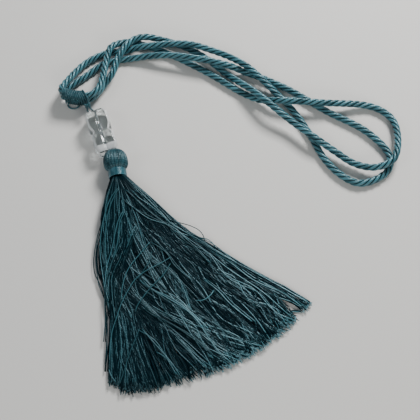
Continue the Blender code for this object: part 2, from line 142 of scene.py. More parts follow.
# The mould lies under the threads: further in, and further down from the crown.
MOULD_IN = 1.3 * MM
MOULD_DOWN = 0.8 * MM
MOULD_TOP_RADIUS = 1.0 * MM
MOULD_LEAST_RADIUS = 0.3 * MM
MOULD_FOOT = (NECK_END + 4.0 * MM, 6.4 * MM)

# The neck band's winding.
BAND_RADIUS = 8.5 * MM
BAND_THREAD_RADIUS = 0.47 * MM
BAND_THREAD_IN = 0.45 * MM  # from the band's outside to the axis of its thread
BAND_TURNS = 9.5
BAND_STEPS = 460
BAND_INSET = 0.1 * MM  # its end turns lie this far inside the neck's ends
BAND_CROWN = 0.35  # mm: its middle stands this much prouder than its ends
BAND_RIDGE = 0.09 * MM
BAND_RIDGES = 8.0

# The skirt of threads. Near the neck both edges lean further left: so the left one bows out,
# and the right one leaves the neck steeply and flares later.
SKIRT_LEFT = math.radians(1.0)
SKIRT_RIGHT = math.radians(54.6)
SKIRT_LEFT_SWING = math.radians(-20.0)
LEFT_SWING_REACH = 130.0 * MM
SKIRT_RIGHT_SWING = math.radians(-8.0)
RIGHT_SWING_REACH = 180.0 * MM
SKIRT_REACHES = [(0.0, 187.0), (0.08, 195.5), (0.4, 195.5), (0.7, 202.0), (1.0, 206.0)]
SKIRT_SETTLE = 85.0 * MM  # the threads come down to the floor over this distance
THREAD_RADIUS = 0.41 * MM

# The threads part round a narrow gap near the right edge, on its left more than on its right.
GAP_AT = 0.935
GAP_START = 158.0 * MM
GAP_LENGTH = 42.0 * MM
GAP_RIGHT = math.radians(0.5)
GAP_LEFT = math.radians(1.1)
GAP_FADE = 0.08

# The pile of threads is round at the neck, then flat, and thinner towards the tips.
ROOT_INSIDE = 2.0 * MM  # the threads start this far inside the neck's end
ROOT_WIDE = 0.9  # shares of the neck's radius that it fills, across and up
ROOT_HIGH = 0.88
ROOT_NARROWING = 0.6  # share of that width that is lost once the threads have settled
ROUND_REACH = 40 * MM
PILE_DEPTH = 5.2  # mm, over all its levels
PILE_THINNING = 1.6  # mm less than that at the tips
THINNING_REACH = 110 * MM
PILE_TOP = 5.7 * MM
FLOOR_GAP = 0.1 * MM

# How a thread lies in its tuft, and where the scissors left it.
CUT_SHORT = -2.5  # mm
CUT_LONG = 1.5
OWN_SWAY = 1.9  # mm
OWN_WAVE = 0.55  # of the tuft's wave
FRAY_RADIUS = 0.20 * MM
FRAY_AXIS_MIN = 0.3 * MM
FRAY_LENGTHS = (1.2, 3.2)  # mm
FRAY_SPLAY = (0.05, 0.30)

# Loose and stray threads.
LOOSE_SPREAD = 0.7  # mm
STRAY_SPREAD = 0.8  # mm
STRAY_BESIDE = 0.9  # mm to each side: these threads lie in pairs
STRAY_RISE = 0.4 * MM  # above the pile
STRAY_TUCK = 1.6  # mm: how deep their ends are tucked in

# The rope's routes: from the upper run in the binding, round the bight, to the lower run.
LEFT_ROUTE = [
    (-131.2, 115.0, 15.3), (-138.0, 116.2, 15.3), (-142.8, 119.0, 15.0), (-144.7, 124.1, 13.9),
    (-142.9, 129.2, 12.3), (-139.5, 136.5, 10.5), (-134.5, 147.5, 6.6), (-124.0, 162.0, 3.5),
    (-105.0, 173.5, 3.5), (-87.0, 175.5, 4.3), (-67.0, 176.5, 10.6), (-23.0, 179.5, 11.2),
    (2.0, 173.5, 8.4), (21.0, 163.5, 10.0), (36.5, 151.5, 12.0), (53.0, 136.5, 8.6),
    (67.0, 123.0, 3.6), (83.0, 102.0, 3.5), (96.0, 78.0, 3.5), (108.0, 52.0, 3.5),
    (122.0, 35.0, 3.5), (138.0, 26.0, 3.5), (156.0, 30.5, 3.5), (168.5, 42.0, 3.5),
    (169.5, 57.0, 3.5), (150.5, 81.5, 3.5), (113.0, 105.0, 3.5), (73.0, 132.5, 3.5),
    (38.0, 149.0, 3.5), (14.5, 154.5, 11.2), (-41.0, 165.5, 11.2), (-82.0, 166.5, 3.6),
    (-106.0, 160.5, 3.5), (-124.0, 145.5, 3.5), (-134.5, 136.5, 3.5), (-141.5, 129.5, 4.4),
    (-144.7, 124.1, 6.6), (-142.8, 119.0, 7.8), (-138.0, 116.2, 8.0), (-131.2, 115.0, 8.0),
]
RIGHT_ROUTE = [
    (-130.8, 115.0, 15.3), (-125.0, 114.3, 15.3), (-120.0, 114.8, 15.3), (-114.2, 116.7, 15.3),
    (-108.3, 123.4, 15.2), (-105.6, 134.0, 14.3), (-103.3, 157.0, 11.6), (-99.5, 175.5, 11.0),
    (-83.0, 187.5, 3.5), (-67.0, 183.5, 3.5), (-36.0, 169.7, 3.5), (-2.0, 149.5, 3.5),
    (34.0, 124.5, 3.5), (52.0, 115.5, 5.8), (65.0, 112.5, 10.8), (108.0, 109.5, 11.3),
    (160.0, 109.0, 3.5), (177.5, 92.5, 4.4), (172.0, 48.0, 11.3), (154.5, 40.0, 8.8),
    (136.0, 45.0, 6.2), (117.5, 57.5, 8.0), (98.0, 71.5, 11.3), (78.0, 88.5, 11.4),
    (58.0, 105.5, 14.9), (43.0, 121.5, 12.4), (16.5, 148.0, 3.8), (-7.5, 170.0, 3.5),
    (-27.5, 182.0, 3.5), (-49.0, 190.0, 3.8), (-65.0, 190.3, 8.4), (-75.0, 185.8, 11.4),
    (-83.5, 177.5, 12.8), (-90.5, 164.0, 12.5), (-97.0, 145.0, 8.8), (-103.7, 134.2, 7.0),
    (-110.6, 123.2, 7.2), (-115.6, 116.6, 7.8), (-120.0, 114.8, 8.0), (-130.8, 115.0, 8.0),
]
# The binding's axis seen from above, from its right end to its left end.
BINDING_ROUTE = [
    (-118.6, 115.3), (-120.0, 114.8), (-125.0, 114.3), (-131.0, 115.0), (-138.0, 116.2),
    (-142.8, 119.0), (-144.7, 124.1),
]
# The hanging cord's way round the binding, from the bead's upper end and back to it.
HANGER_ROUTE = [
    (-119.4, 104.6, 3.0), (-120.2, 109.2, 1.6), (-120.4, 114.0, 2.2), (-122.0, 118.4, 4.0),
    (-123.0, 119.6, 7.5), (-123.2, 119.8, 15.8), (-122.8, 118.0, 19.6), (-120.6, 114.6, 20.6),
    (-118.2, 110.6, 19.8), (-117.0, 107.0, 16.6), (-115.6, 102.8, 12.4),
]
# The small open loop of fine cord that sticks out from under the binding.
LOOP_ROUTE = [
    (-127.5, 115.5, 1.1), (-128.4, 112.6, 1.1), (-130.2, 110.2, 1.1), (-133.8, 109.0, 1.2),
    (-137.0, 109.8, 1.2), (-139.4, 112.2, 1.2), (-139.0, 115.0, 1.2), (-136.5, 117.0, 1.1),
]


# ---- small helpers
def place(x, y, z):
    """A place in the layout, in millimetres, as one in the part's own frame, in metres."""
    return Vector((x, y, z)) * MM - LAYOUT_ORIGIN


def smooth_step(x):
    """Rises smoothly from 0 to 1 while x does."""
    x = min(max(x, 0.0), 1.0)
    return x * x * (3 - 2 * x)


def select_only(piece):
    """Everything is deselected first: the loaded model comes in selected."""
    if bpy.context.object and bpy.context.object.mode != "OBJECT":
        bpy.ops.object.mode_set(mode="OBJECT")
    bpy.ops.object.select_all(action="DESELECT")
    piece.select_set(True)
    bpy.context.view_layer.objects.active = piece


def apply_modifiers(piece):
    select_only(piece)
    for modifier in list(piece.modifiers):
        bpy.ops.object.modifier_apply(modifier=modifier.name)


def set_down(piece, turned, spot, smooth_angle):
    """Turns and moves a piece that was made at the origin, and shades it smooth."""
    piece.matrix_world = Matrix.Translation(spot) @ turned
    select_only(piece)
    bpy.ops.object.transform_apply(location=True, rotation=True, scale=True)
    bpy.ops.object.shade_smooth_by_angle(angle=math.radians(smooth_angle))


def linear(hex_colour):
    """An sRGB hex colour as linear red, green, blue and alpha."""
    channels = [int(hex_colour[i:i + 2], 16) / 255 for i in (1, 3, 5)]
    turned = [c / 12.92 if c <= 0.04045 else ((c + 0.055) / 1.055) ** 2.4 for c in channels]
    return (*turned, 1.0)


# ---- curves
def between(p0, p1, p2, p3, share):
    """A point between p1 and p2 on the centripetal Catmull-Rom curve through all four."""
    t0 = 0.0
    t1 = t0 + math.sqrt((p1 - p0).length)
    t2 = t1 + math.sqrt((p2 - p1).length)
    t3 = t2 + math.sqrt((p3 - p2).length)
    t = t1 + (t2 - t1) * share
    a1 = p0.lerp(p1, (t - t0) / (t1 - t0))
    a2 = p1.lerp(p2, (t - t1) / (t2 - t1))
    a3 = p2.lerp(p3, (t - t2) / (t3 - t2))
    b1 = a1.lerp(a2, (t - t0) / (t2 - t0))
    b2 = a2.lerp(a3, (t - t1) / (t3 - t1))
    return b1.lerp(b2, (t - t1) / (t2 - t1))


def smooth_curve(points, spacing):
    """Evenly spaced points on the smooth curve through the given ones."""
    ends = [points[0] * 2 - points[1]] + points + [points[-1] * 2 - points[-2]]
    fine = []
    for i in range(1, len(ends) - 2):
        fine += [between(*ends[i - 1:i + 3], step / SPAN_STEPS) for step in range(SPAN_STEPS)]
    fine.append(points[-1])
    reach = [0.0]
    for a, b in zip(fine, fine[1:]):
        reach.append(reach[-1] + (b - a).length)
    count = max(2, round(reach[-1] / spacing))
    even = []
    i = 0
    for step in range(count + 1):
        goal = reach[-1] * step / count
        while i < len(fine) - 2 and reach[i + 1] < goal:
            i += 1
        even.append(fine[i].lerp(fine[i + 1], (goal - reach[i]) / (reach[i + 1] - reach[i])))
    return even


def plies(path, count, offset, lay):
    """The centre lines of left-handed plies that are laid up round a path."""
    lines = [[] for _ in range(count)]
    side = (path[1] - path[0]).orthogonal().normalized()
    turn = 0.0
    for i, point in enumerate(path):
        ahead = (path[min(i + 1, len(path) - 1)] - path[max(i - 1, 0)]).normalized()
        side = (side - ahead * side.dot(ahead)).normalized()
        across = ahead.cross(side)
        if i:
            turn -= 2 * math.pi * (point - path[i - 1]).length / lay
        for ply, line in enumerate(lines):
            angle = turn + 2 * math.pi * ply / count
            line.append(point + side * math.cos(angle) * offset + across * math.sin(angle) * offset)
    return lines


def set_painted_shade(piece, values):
    """The attribute of painted shade and light, which satin_yarn reads: 0 is painted dark and 1
    light.
    """
    painted_shade_and_light = piece.data.attributes.new("painted_shade_and_light", "FLOAT", "POINT")
    painted_shade_and_light.data.foreach_set("value", values)


def paint_groove_shade(piece, path, low, high):
    """Painted shade: an attribute that is 0 in the grooves between plies, where shade falls, and 1
    on their crests.
    """
    tree = KDTree(len(path))
    for i, point in enumerate(path):
        tree.insert(point, i)
    tree.balance()
    outs = [tree.find(vert.co)[2] for vert in piece.data.vertices]
    set_painted_shade(piece, [smooth_step((out - low) / (high - low)) for out in outs])


def strands(name, lines, radius, material, roundness=1):
    """One mesh of closed round strands. Its UV map runs along each strand and round it."""
    curve = bpy.data.curves.new(name, "CURVE")
    curve.dimensions = "3D"
    curve.bevel_depth = radius
    curve.bevel_resolution = roundness
    curve.use_fill_caps = True
    for line in lines:
        spline = curve.splines.new("POLY")
        spline.points.add(len(line) - 1)
        spline.points.foreach_set("co", [c for point in line for c in (*point, 1.0)])
    piece = bpy.data.objects.new(name, curve)
    bpy.context.scene.collection.objects.link(piece)
    select_only(piece)
    bpy.ops.object.convert(target="MESH")
    piece = bpy.context.object
    bpy.ops.object.mode_set(mode="EDIT")
    bpy.ops.mesh.select_all(action="SELECT")
    bpy.ops.mesh.remove_doubles(threshold=0.000001)
    bpy.ops.object.mode_set(mode="OBJECT")
    bpy.ops.object.shade_smooth()
    piece.data.materials.clear()
    piece.data.materials.append(material)
    return piece


def fits(piece, node):
    """A finished piece rides on the body, and hides the part of the node that it stands for, if
    any.
    """
    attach(piece, "root")
    if node:
        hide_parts(node)


# ---- materials
# Scales of noise, in cells to a metre of the part's own space.
DYE_PATCHES = 140.0  # about 7 mm each
ACRYLIC_RIPPLES = 180.0  # about 5.5 mm each
GROUND_GRAIN = 900.0  # about 1 mm each, coarser than real grinding, which wouldn't show


def feed(material, node, inputs):
    """Sets or links a node's inputs."""
    for key, value in inputs.items():
        if isinstance(value, bpy.types.NodeSocket):
            material.node_tree.links.new(value, node.inputs[key])
        else:
            node.inputs[key].default_value = value


def add_node(material, kind, inputs, **settings):
    """Adds a node, with its settings, and sets or links its inputs."""
    node = material.node_tree.nodes.new(kind)
    for name, value in settings.items():
        setattr(node, name, value)
    feed(material, node, inputs)
    return node


def new_material(name, **constants):
    """A material whose constants are on its shader's own sockets."""
    material = bpy.data.materials.new(name)
    material.use_nodes = True
    shader = material.node_tree.nodes["Principled BSDF"]
    feed(material, shader, {key.replace("_", " "): value for key, value in constants.items()})
    return material, shader


def satin_yarn(name, light, deep, yarns, along, ridge, roughness, groove_shade=0.5, spread=0.45,
               patchy=1.0, rare=1.0, reads_painted_shade=False):
    """Rayon yarn: filament viscose with a silky shine, twisted so that its yarns wind round.

    yarns is how many wind round a strand, along how many pass in its length, ridge how far they
    stand out. groove_shade is how much darker and duller the grooves between them are painted, as
    painted shade, spread how much the strands differ from one another, patchy how unevenly each
    took the dye, and the higher rare is the fewer are light. Where reads_painted_shade is set, the
    painted_shade_and_light attribute adds painted shade in the grooves between plies and deep in
    the pile of threads, and painted light towards the skirt's tips.
    """
    material, shader = new_material(name, Roughness=roughness, IOR=1.6,
                                    Specular_Tint=linear("#CFE4E9"))
    where = add_node(material, "ShaderNodeTexCoord", {})
    split = add_node(material, "ShaderNodeSeparateXYZ", {0: where.outputs["UV"]})
    run = add_node(material, "ShaderNodeMath", {0: split.outputs["X"], 1: along},
                   operation="MULTIPLY")
    phase = add_node(material, "ShaderNodeMath",
                     {0: split.outputs["Y"], 1: yarns, 2: run.outputs[0]},
                     operation="MULTIPLY_ADD")
    full_turns = add_node(material, "ShaderNodeMath", {0: phase.outputs[0], 1: 2 * math.pi},
                          operation="MULTIPLY")
    wave = add_node(material, "ShaderNodeMath", {0: full_turns.outputs[0]}, operation="SINE")
    yarn = add_node(material, "ShaderNodeMapRange", {"Value": wave.outputs[0], "From Min": -1.0})
    # Dye takes unevenly: soft patches, in the part's own space.
    patches = add_node(material, "ShaderNodeTexNoise",
                       {"Vector": where.outputs["Object"], "Scale": DYE_PATCHES, "Detail": 3.0})
    uneven = add_node(material, "ShaderNodeMath", {0: patches.outputs["Fac"], 1: patchy},
                      operation="MULTIPLY")
    island = add_node(material, "ShaderNodeNewGeometry", {})
    light_dye = add_node(material, "ShaderNodeMath",
                         {0: island.outputs["Random Per Island"], 1: rare}, operation="POWER")
    tone = add_node(material, "ShaderNodeMath",
                    {0: light_dye.outputs[0], 1: spread, 2: uneven.outputs[0]},
                    operation="MULTIPLY_ADD")
    blend = add_node(material, "ShaderNodeMapRange",
                     {"Value": tone.outputs[0], "From Min": 0.12, "From Max": 1.0})
    # Painted shade: the grooves between the yarns are painted darker, and their shine duller.
    yarn_groove_shade = add_node(material, "ShaderNodeMapRange",
                      {"Value": yarn.outputs[0], "To Min": 1.0 - groove_shade, "To Max": 1.0})
    dye_and_painted_shade = add_node(material, "ShaderNodeMath", {0: blend.outputs[0], 1: yarn_groove_shade.outputs[0]},
                      operation="MULTIPLY").outputs[0]
    # Painted shade and light: the attribute darkens the grooves and the deep pile, and lightens the
    # lit tips.
    if reads_painted_shade:
        painted_shade_and_light = add_node(material, "ShaderNodeAttribute", {}, attribute_name="painted_shade_and_light")
        dye_and_painted_shade = add_node(material, "ShaderNodeMath",
                          {0: dye_and_painted_shade, 1: painted_shade_and_light.outputs["Fac"]},
                          operation="MULTIPLY").outputs[0]
    colour = add_node(material, "ShaderNodeMix",
                      {"Factor": dye_and_painted_shade, "A": linear(deep), "B": linear(light)},
                      data_type="RGBA")
    shine = add_node(material, "ShaderNodeMapRange",
                     {"Value": dye_and_painted_shade, "From Max": 0.75, "To Min": 0.02, "To Max": 0.9})
    bump = add_node(material, "ShaderNodeBump", {"Height": yarn.outputs[0], "Distance": ridge})
    feed(material, shader, {"Base Color": colour.outputs["Result"],
                            "Specular IOR Level": shine.outputs[0],
                            "Normal": bump.outputs["Normal"]})
    return material


def clear_acrylic():
    """Cast acrylic, polished: clear as glass but a little softer at its edges."""
    material, shader = new_material("clear_cast_acrylic", Roughness=0.03, IOR=1.49,
                                    Transmission_Weight=1.0, Base_Color=linear("#DDE3E4"))
    where = add_node(material, "ShaderNodeTexCoord", {})
    ripple = add_node(material, "ShaderNodeTexNoise",
                      {"Vector": where.outputs["Object"], "Scale": ACRYLIC_RIPPLES,
                       "Detail": 1.0})
    bump = add_node(material, "ShaderNodeBump",
                    {"Height": ripple.outputs["Fac"], "Distance": 0.12 * MM, "Strength": 0.8})
    feed(material, shader, {"Normal": bump.outputs["Normal"]})
    return material


def milky_acrylic_painted_light():
    """The same acrylic on its cut facets, ground to a rough finish and painted milky white: the
    white is painted light, for the light that the facets catch and refract.
    """
    material, shader = new_material("ground_acrylic_facet_painted_light", Roughness=0.22, IOR=1.49,
                                    Transmission_Weight=0.40)
    where = add_node(material, "ShaderNodeTexCoord", {})
    grain = add_node(material, "ShaderNodeTexNoise",
                     {"Vector": where.outputs["Object"], "Scale": GROUND_GRAIN, "Detail": 2.0})
    # Painted light: the facets are painted milky white, much lighter than the clear acrylic.
    milk_and_painted_light = add_node(material, "ShaderNodeMix",
                    {"Factor": grain.outputs["Fac"], "A": linear("#E4E9EA"),
                     "B": linear("#FFFFFF")}, data_type="RGBA")
    bump = add_node(material, "ShaderNodeBump",
                    {"Height": grain.outputs["Fac"], "Distance": 0.08 * MM})
    feed(material, shader, {"Base Color": milk_and_painted_light.outputs["Result"],
                            "Normal": bump.outputs["Normal"]})
    return material


def pale_floor():
    """A matt painted board, pale and plain."""
    return new_material("matt_pale_board", Roughness=0.85, Base_Color=linear("#D9D7D3"))[0]


# ---- camera, light and floor
def studio():
    """The camera at the photo's angle, three soft boxes, a dim sky and the floor."""
    centre = place(0, 0, 0)
    tilt = math.radians(CAMERA_ELEVATION)
    away = Vector((0.0, -math.cos(tilt), math.sin(tilt))) * CAMERA_DISTANCE
    bpy.ops.object.camera_add(location=centre + away, rotation=(math.pi / 2 - tilt, 0.0, 0.0))
    camera = bpy.context.object
    camera.name = "photo_angle"
    camera.data.lens = CAMERA_LENS
    camera.data.clip_start = 0.01
    bpy.context.scene.camera = camera

    for name, spot, size, power, tint in SOFT_BOXES:
        bpy.ops.object.light_add(type="AREA", location=spot)
        lamp = bpy.context.object
        lamp.name = name
        lamp.data.size = size
        lamp.data.energy = power
        lamp.data.color = linear(tint)[:3]
        lamp.rotation_euler = (Vector(spot) - centre).to_track_quat("Z", "Y").to_euler()

    world = bpy.context.scene.world or bpy.data.worlds.new("soft_studio")
    bpy.context.scene.world = world
    world.use_nodes = True
    sky = world.node_tree.nodes["Background"]
    sky.inputs["Color"].default_value = linear("#DDE6EA")
    sky.inputs["Strength"].default_value = SKY_STRENGTH

    bpy.ops.mesh.primitive_plane_add(size=FLOOR_SIZE, location=(0.0, 0.0, FLOOR_Z))
    floor = bpy.context.object
    floor.name = "floor"
    floor.data.materials.append(pale_floor())


# ---- rope
def rope(name, route, node, material):
    """Four plies of yarn, laid up round the rope's route, with painted shade in the grooves between
    them.
    """
    path = smooth_curve([place(*point) for point in route], ROPE_STEP)
    for point in path:
        point.z = max(point.z, ROPE_AXIS_MIN)
    lines = plies(path, ROPE_PLIES, PLY_OFFSET, ROPE_LAY)
    piece = strands(name, lines, PLY_RADIUS, material, roundness=3)
    # Painted shade: the grooves between the plies are painted darker.
    paint_groove_shade(piece, smooth_curve(path, ROPE_CREST_STEP), ROPE_SHADED_TO, ROPE_LIT_FROM)
    fits(piece, node)


# ---- fine cord
def fine_cord(name, path, material):
    """Three plies laid up round a path, with painted shade in the grooves between them."""
    lines = plies(path, FINE_PLIES, FINE_PLY_OFFSET, FINE_LAY)
    piece = strands(name, lines, FINE_PLY_RADIUS, material)
    # Painted shade: the grooves between the plies are painted darker.
    paint_groove_shade(piece, smooth_curve(path, FINE_CREST_STEP), FINE_PLY_OFFSET,
                FINE_PLY_OFFSET + FINE_PLY_RADIUS)
    return piece


def binding_path():
    """Turns side by side round a tall slot. They lean, so that they cross the top on a slant."""
    route = [place(x, y, BINDING_AXIS_Z / MM) for x, y in BINDING_ROUTE]
    axis = smooth_curve(route, BINDING_AXIS_STEP)
    turns = BINDING_LENGTH / BINDING_PITCH
    around = 2 * math.pi * BINDING_RADIUS + 4 * RUN_RISE
    steps = int(turns * around / FINE_STEP)
    points = []
    for i in range(steps + 1):
        share = i / steps
        angle = 2 * math.pi * turns * share
        out = math.cos(angle) * BINDING_RADIUS
        rise = math.sin(angle)
        straight = math.copysign(min(1.0, abs(rise) * BINDING_CLIMB), rise)
        up = rise * BINDING_RADIUS + RUN_RISE * straight
        along = BINDING_START + BINDING_LENGTH * share + out * BINDING_LEAN
        # A turn that leans past an end of the axis stays at that end.
        spot = min(max(along / BINDING_AXIS_STEP, 0.0), len(axis) - 1.001)
        k = int(spot)
        centre = axis[k].lerp(axis[k + 1], spot - k)
        ahead = (axis[k + 1] - axis[k]).normalized()
        side = ahead.cross(Vector((0.0, 0.0, 1.0))).normalized()
        points.append(centre + side * out + Vector((0.0, 0.0, up)))
    return points


def knot_path():
    """The hanging cord's small knot, a trefoil between the binding's right end and the bead."""
    centre = place(*KNOT_CENTRE)
    points = []
    for i in range(KNOT_STEPS + 1):
        t = 2 * math.pi * i / KNOT_STEPS
        loop = Vector((math.sin(t) + 2 * math.sin(2 * t), -KNOT_DEPTH * math.sin(3 * t),
                       math.cos(t) - 2 * math.cos(2 * t)))
        points.append(centre + loop * KNOT_SIZE)
    return points


def hanger_path():
    """From the head up the bead's bore, round the binding and back down the bore."""
    axis, side = bead_axes()
    half = BEAD_LENGTH / 2
    apart = side * HANGER_APART * MM
    stops = (half + HANGER_END, 0.0, BORE_LEAD - half, -half)
    through = [BEAD_CENTRE + axis * along for along in stops]
    route = [point - apart for point in through] + [place(*point) for point in HANGER_ROUTE]
    route += [point + apart for point in reversed(through)]
    path = smooth_curve(route, FINE_STEP)
    for point in path:
        point.z = max(point.z, HANGER_AXIS_MIN)
    return path


# ---- bead
def bead_axes():
    """The bead's long axis, pointing to the tassel, and its level side axis."""
    axis = Vector((math.sin(BEAD_TURN), -math.cos(BEAD_TURN), 0.0))
    side = Vector((math.cos(BEAD_TURN), math.sin(BEAD_TURN), 0.0))
    return axis, side


def select_where(piece, test):
    """Selects the vertices for which a test of their place is true."""
    bpy.ops.mesh.select_all(action="DESELECT")
    mesh = bmesh.from_edit_mesh(piece.data)
    for vert in mesh.verts:
        vert.select = test(vert.co)
    mesh.select_flush(True)
    bmesh.update_edit_mesh(piece.data)


def cut_block(piece, half):
    """Cuts the lines of the grooves, waist and ends, and draws those that lie deeper inwards."""
    cuts = [((1, 0, 0), BEAD_GROOVE_HALF), ((0, 0, 1), BEAD_GROOVE_HALF),
            ((0, 1, 0), BEAD_WAIST_HALF), ((0, 1, 0), half.y - BEAD_END_TAPER)]
    planes = [(normal, spot) for normal, out in cuts for spot in (-out, out)]
    planes += [(normal, 0.0) for normal in ((1, 0, 0), (0, 0, 1), (0, 1, 0))]
    for normal, spot in planes:
        bpy.ops.mesh.select_all(action="SELECT")
        bpy.ops.mesh.bisect(plane_co=Vector(normal) * spot, plane_no=normal)
    # The vertices that are drawn inwards, and how far across and down.
    drawn = [
        (lambda co: abs(co.x) < BEAD_NEAR and abs(co.z) > half.z - BEAD_NEAR,
         0.0, BEAD_GROOVE_DEPTH),
        (lambda co: abs(co.z) < BEAD_NEAR and abs(co.x) > half.x - BEAD_NEAR,
         BEAD_GROOVE_DEPTH, 0.0),
        (lambda co: abs(co.y) < BEAD_NEAR, BEAD_WAIST_DEPTH, BEAD_WAIST_DEPTH),
        (lambda co: abs(co.y) > half.y - BEAD_NEAR, BEAD_END_INSET, BEAD_END_INSET),
    ]
    for test, across, down in drawn:
        select_where(piece, test)
        bpy.ops.transform.resize(value=(1 - across / half.x, 1, 1 - down / half.z),
                                 center_override=(0, 0, 0))


def ground_faces(piece, half):
    """The taper at the lower end and the bulging parts of the slanted corners are ground, and take
    the milky white of painted light.
    """
    slant, outer = 0.3, 0.62
    for face in piece.data.polygons:
        at = face.center
        ground = BEAD_NEAR - half.y < at.y < BEAD_END_TAPER - half.y
        if abs(face.normal.x) > slant and abs(face.normal.z) > slant:
            ground = ground or (abs(at.x) > half.x * outer and abs(at.z) > half.z * outer)
        face.material_index = 1 if ground else 0


def drill_bore(piece):
    """Drills the bore for the cord, from end to end."""
    bpy.ops.mesh.primitive_cylinder_add(vertices=40, radius=BEAD_BORE_RADIUS,
                                        depth=BEAD_LENGTH * 1.2, rotation=(math.pi / 2, 0.0, 0.0))
    drill = bpy.context.object
    bore = piece.modifiers.new("bore", "BOOLEAN")
    bore.operation = "DIFFERENCE"
    bore.object = drill
    apply_modifiers(piece)
    bpy.data.objects.remove(drill)


def bead(polished, ground):
    """A chamfered block, cut to the bead's form, with polished edges and its bore."""
    bpy.ops.object.select_all(action="DESELECT")
    bpy.ops.mesh.primitive_cube_add(size=1.0, location=(0, 0, 0))
    piece = bpy.context.object
    piece.name = "bead_clear_block"
    half = Vector((BEAD_WIDTH, BEAD_LENGTH, BEAD_HEIGHT)) / 2
    bpy.ops.object.mode_set(mode="EDIT")
    bpy.ops.transform.resize(value=half * 2)
    mesh = bmesh.from_edit_mesh(piece.data)
    for edge in mesh.edges:
        a, b = (vert.co for vert in edge.verts)
        edge.select = abs(a.x - b.x) < BEAD_NEAR and abs(a.z - b.z) < BEAD_NEAR
    bmesh.update_edit_mesh(piece.data)
    bpy.ops.mesh.bevel(offset=BEAD_CHAMFER, offset_type="WIDTH", segments=1)
    cut_block(piece, half)
    bpy.ops.object.mode_set(mode="OBJECT")
    piece.data.materials.append(polished)
    piece.data.materials.append(ground)
    ground_faces(piece, half)
    edges = piece.modifiers.new("polished_edges", "BEVEL")
    edges.width = BEAD_EDGE
    edges.segments = 3
    edges.angle_limit = math.radians(20)
    apply_modifiers(piece)
    drill_bore(piece)
    set_down(piece, Matrix.Rotation(BEAD_TURN, 4, "Z"), BEAD_CENTRE, smooth_angle=30)
    fits(piece, "bead")


# ---- head and neck
def head_axes():
    """The head's axis, its level side axis and its upward axis."""
    flat = math.cos(HEAD_DIP)
    axis = Vector((math.sin(HEAD_TURN) * flat, -math.cos(HEAD_TURN) * flat, -math.sin(HEAD_DIP)))
    side = Vector((math.cos(HEAD_TURN), math.sin(HEAD_TURN), 0.0))
    return axis, side, side.cross(axis)


# Distance from the crown and radius to the outside of the threads, in millimetres.
HEAD_PROFILE = [
    (0.3, 1.8), (0.5, 4.2), (1.9, 7.2), (4.6, 9.6), (8.4, 10.9), (12.2, 11.25), (15.6, 11.0),
    (18.2, 9.9), (19.8, 8.3), (21.2, 7.3), (26.0, 7.0),
]


def head_profile():
    """The profile as a smooth curve, in metres."""
    knots = [Vector((along, radius, 0.0)) for along, radius in HEAD_PROFILE]
    return [(point.x * MM, point.y * MM) for point in smooth_curve(knots, spacing=1.3)]


def on_head(along, radius, angle):
    """A place at a distance from the crown, a radius and an angle round the head's axis."""
    axis, side, up = head_axes()
    out = side * math.cos(angle) + up * math.sin(angle)
    return HEAD_CROWN + axis * along + out * radius


def head_threads(material):
    """Threads laid from the crown over the ball and in under the neck band."""
    rng = random.Random(11)
    profile = head_profile()
    lines = []
    for layer, (count, sunk) in enumerate(HEAD_LAYERS):
        for i in range(count):
            start = 2 * math.pi * (i + rng.uniform(-0.3, 0.3)) / count
            lean = rng.gauss(0.0, HEAD_LEAN)
            lift = rng.uniform(0.0, HEAD_LIFT) * MM
            line = []
            for k, (along, radius) in enumerate(profile):
                share = k / (len(profile) - 1)
                sway = HEAD_SWAY * math.sin(share * 5.0 + i * 2.4)
                angle = start + lean * share + sway * layer
                spot = on_head(along, radius - sunk * MM + lift * math.sin(math.pi * share), angle)
                spot.z = max(spot.z, HEAD_THREAD_RADIUS)
                line.append(spot)
            lines.append(line)
    piece = strands("tassel_head_threads", lines, HEAD_THREAD_RADIUS, material)
    fits(piece, "tassel")


def head_core(material):
    """The wooden mould under the threads, with the neck, turned from one profile."""
    axis, side, up = head_axes()
    bpy.ops.object.select_all(action="DESELECT")
    bpy.ops.mesh.primitive_circle_add(vertices=48, radius=MOULD_TOP_RADIUS, location=(0, 0, 0))
    piece = bpy.context.object
    piece.name = "tassel_head_mould"
    bpy.ops.object.mode_set(mode="EDIT")
    bpy.ops.mesh.select_all(action="SELECT")
    bpy.ops.mesh.edge_face_add()
    radius_now = MOULD_TOP_RADIUS
    down_now = 0.0
    for along, radius in head_profile() + [MOULD_FOOT]:
        radius = max(radius - MOULD_IN, MOULD_LEAST_RADIUS)
        down = along + MOULD_DOWN
        bpy.ops.mesh.extrude_region_move(
            TRANSFORM_OT_translate={"value": (0.0, 0.0, -(down - down_now))})
        factor = radius / radius_now
        bpy.ops.transform.resize(value=(factor, factor, 1.0), center_override=(0.0, 0.0, -down))
        radius_now = radius
        down_now = down
    bpy.ops.mesh.select_all(action="SELECT")
    bpy.ops.mesh.normals_make_consistent(inside=False)
    bpy.ops.object.mode_set(mode="OBJECT")
    turned = Matrix((side, up, -axis)).transposed().to_4x4()
    set_down(piece, turned, HEAD_CROWN, smooth_angle=40)
    piece.data.materials.append(material)
    fits(piece, None)


def neck_band(material):
    """Glossy thread wound round the neck, turn beside turn, over the ridges of the bundle."""
    radius = BAND_RADIUS - BAND_THREAD_IN
    line = []
    for i in range(BAND_STEPS + 1):
        share = i / BAND_STEPS
        angle = 2 * math.pi * BAND_TURNS * share
        crown = math.sin(math.pi * share) ** 0.5 * BAND_CROWN * MM
        along = NECK_START + BAND_INSET + (NECK_END - NECK_START - 2 * BAND_INSET) * share
        ridges = BAND_RIDGE * math.cos(BAND_RIDGES * angle)
        line.append(on_head(along, radius - BAND_CROWN * MM + crown + ridges, angle))
    piece = strands("neck_band_turns", [line], BAND_THREAD_RADIUS, material, roundness=2)
    fits(piece, "neck_band")


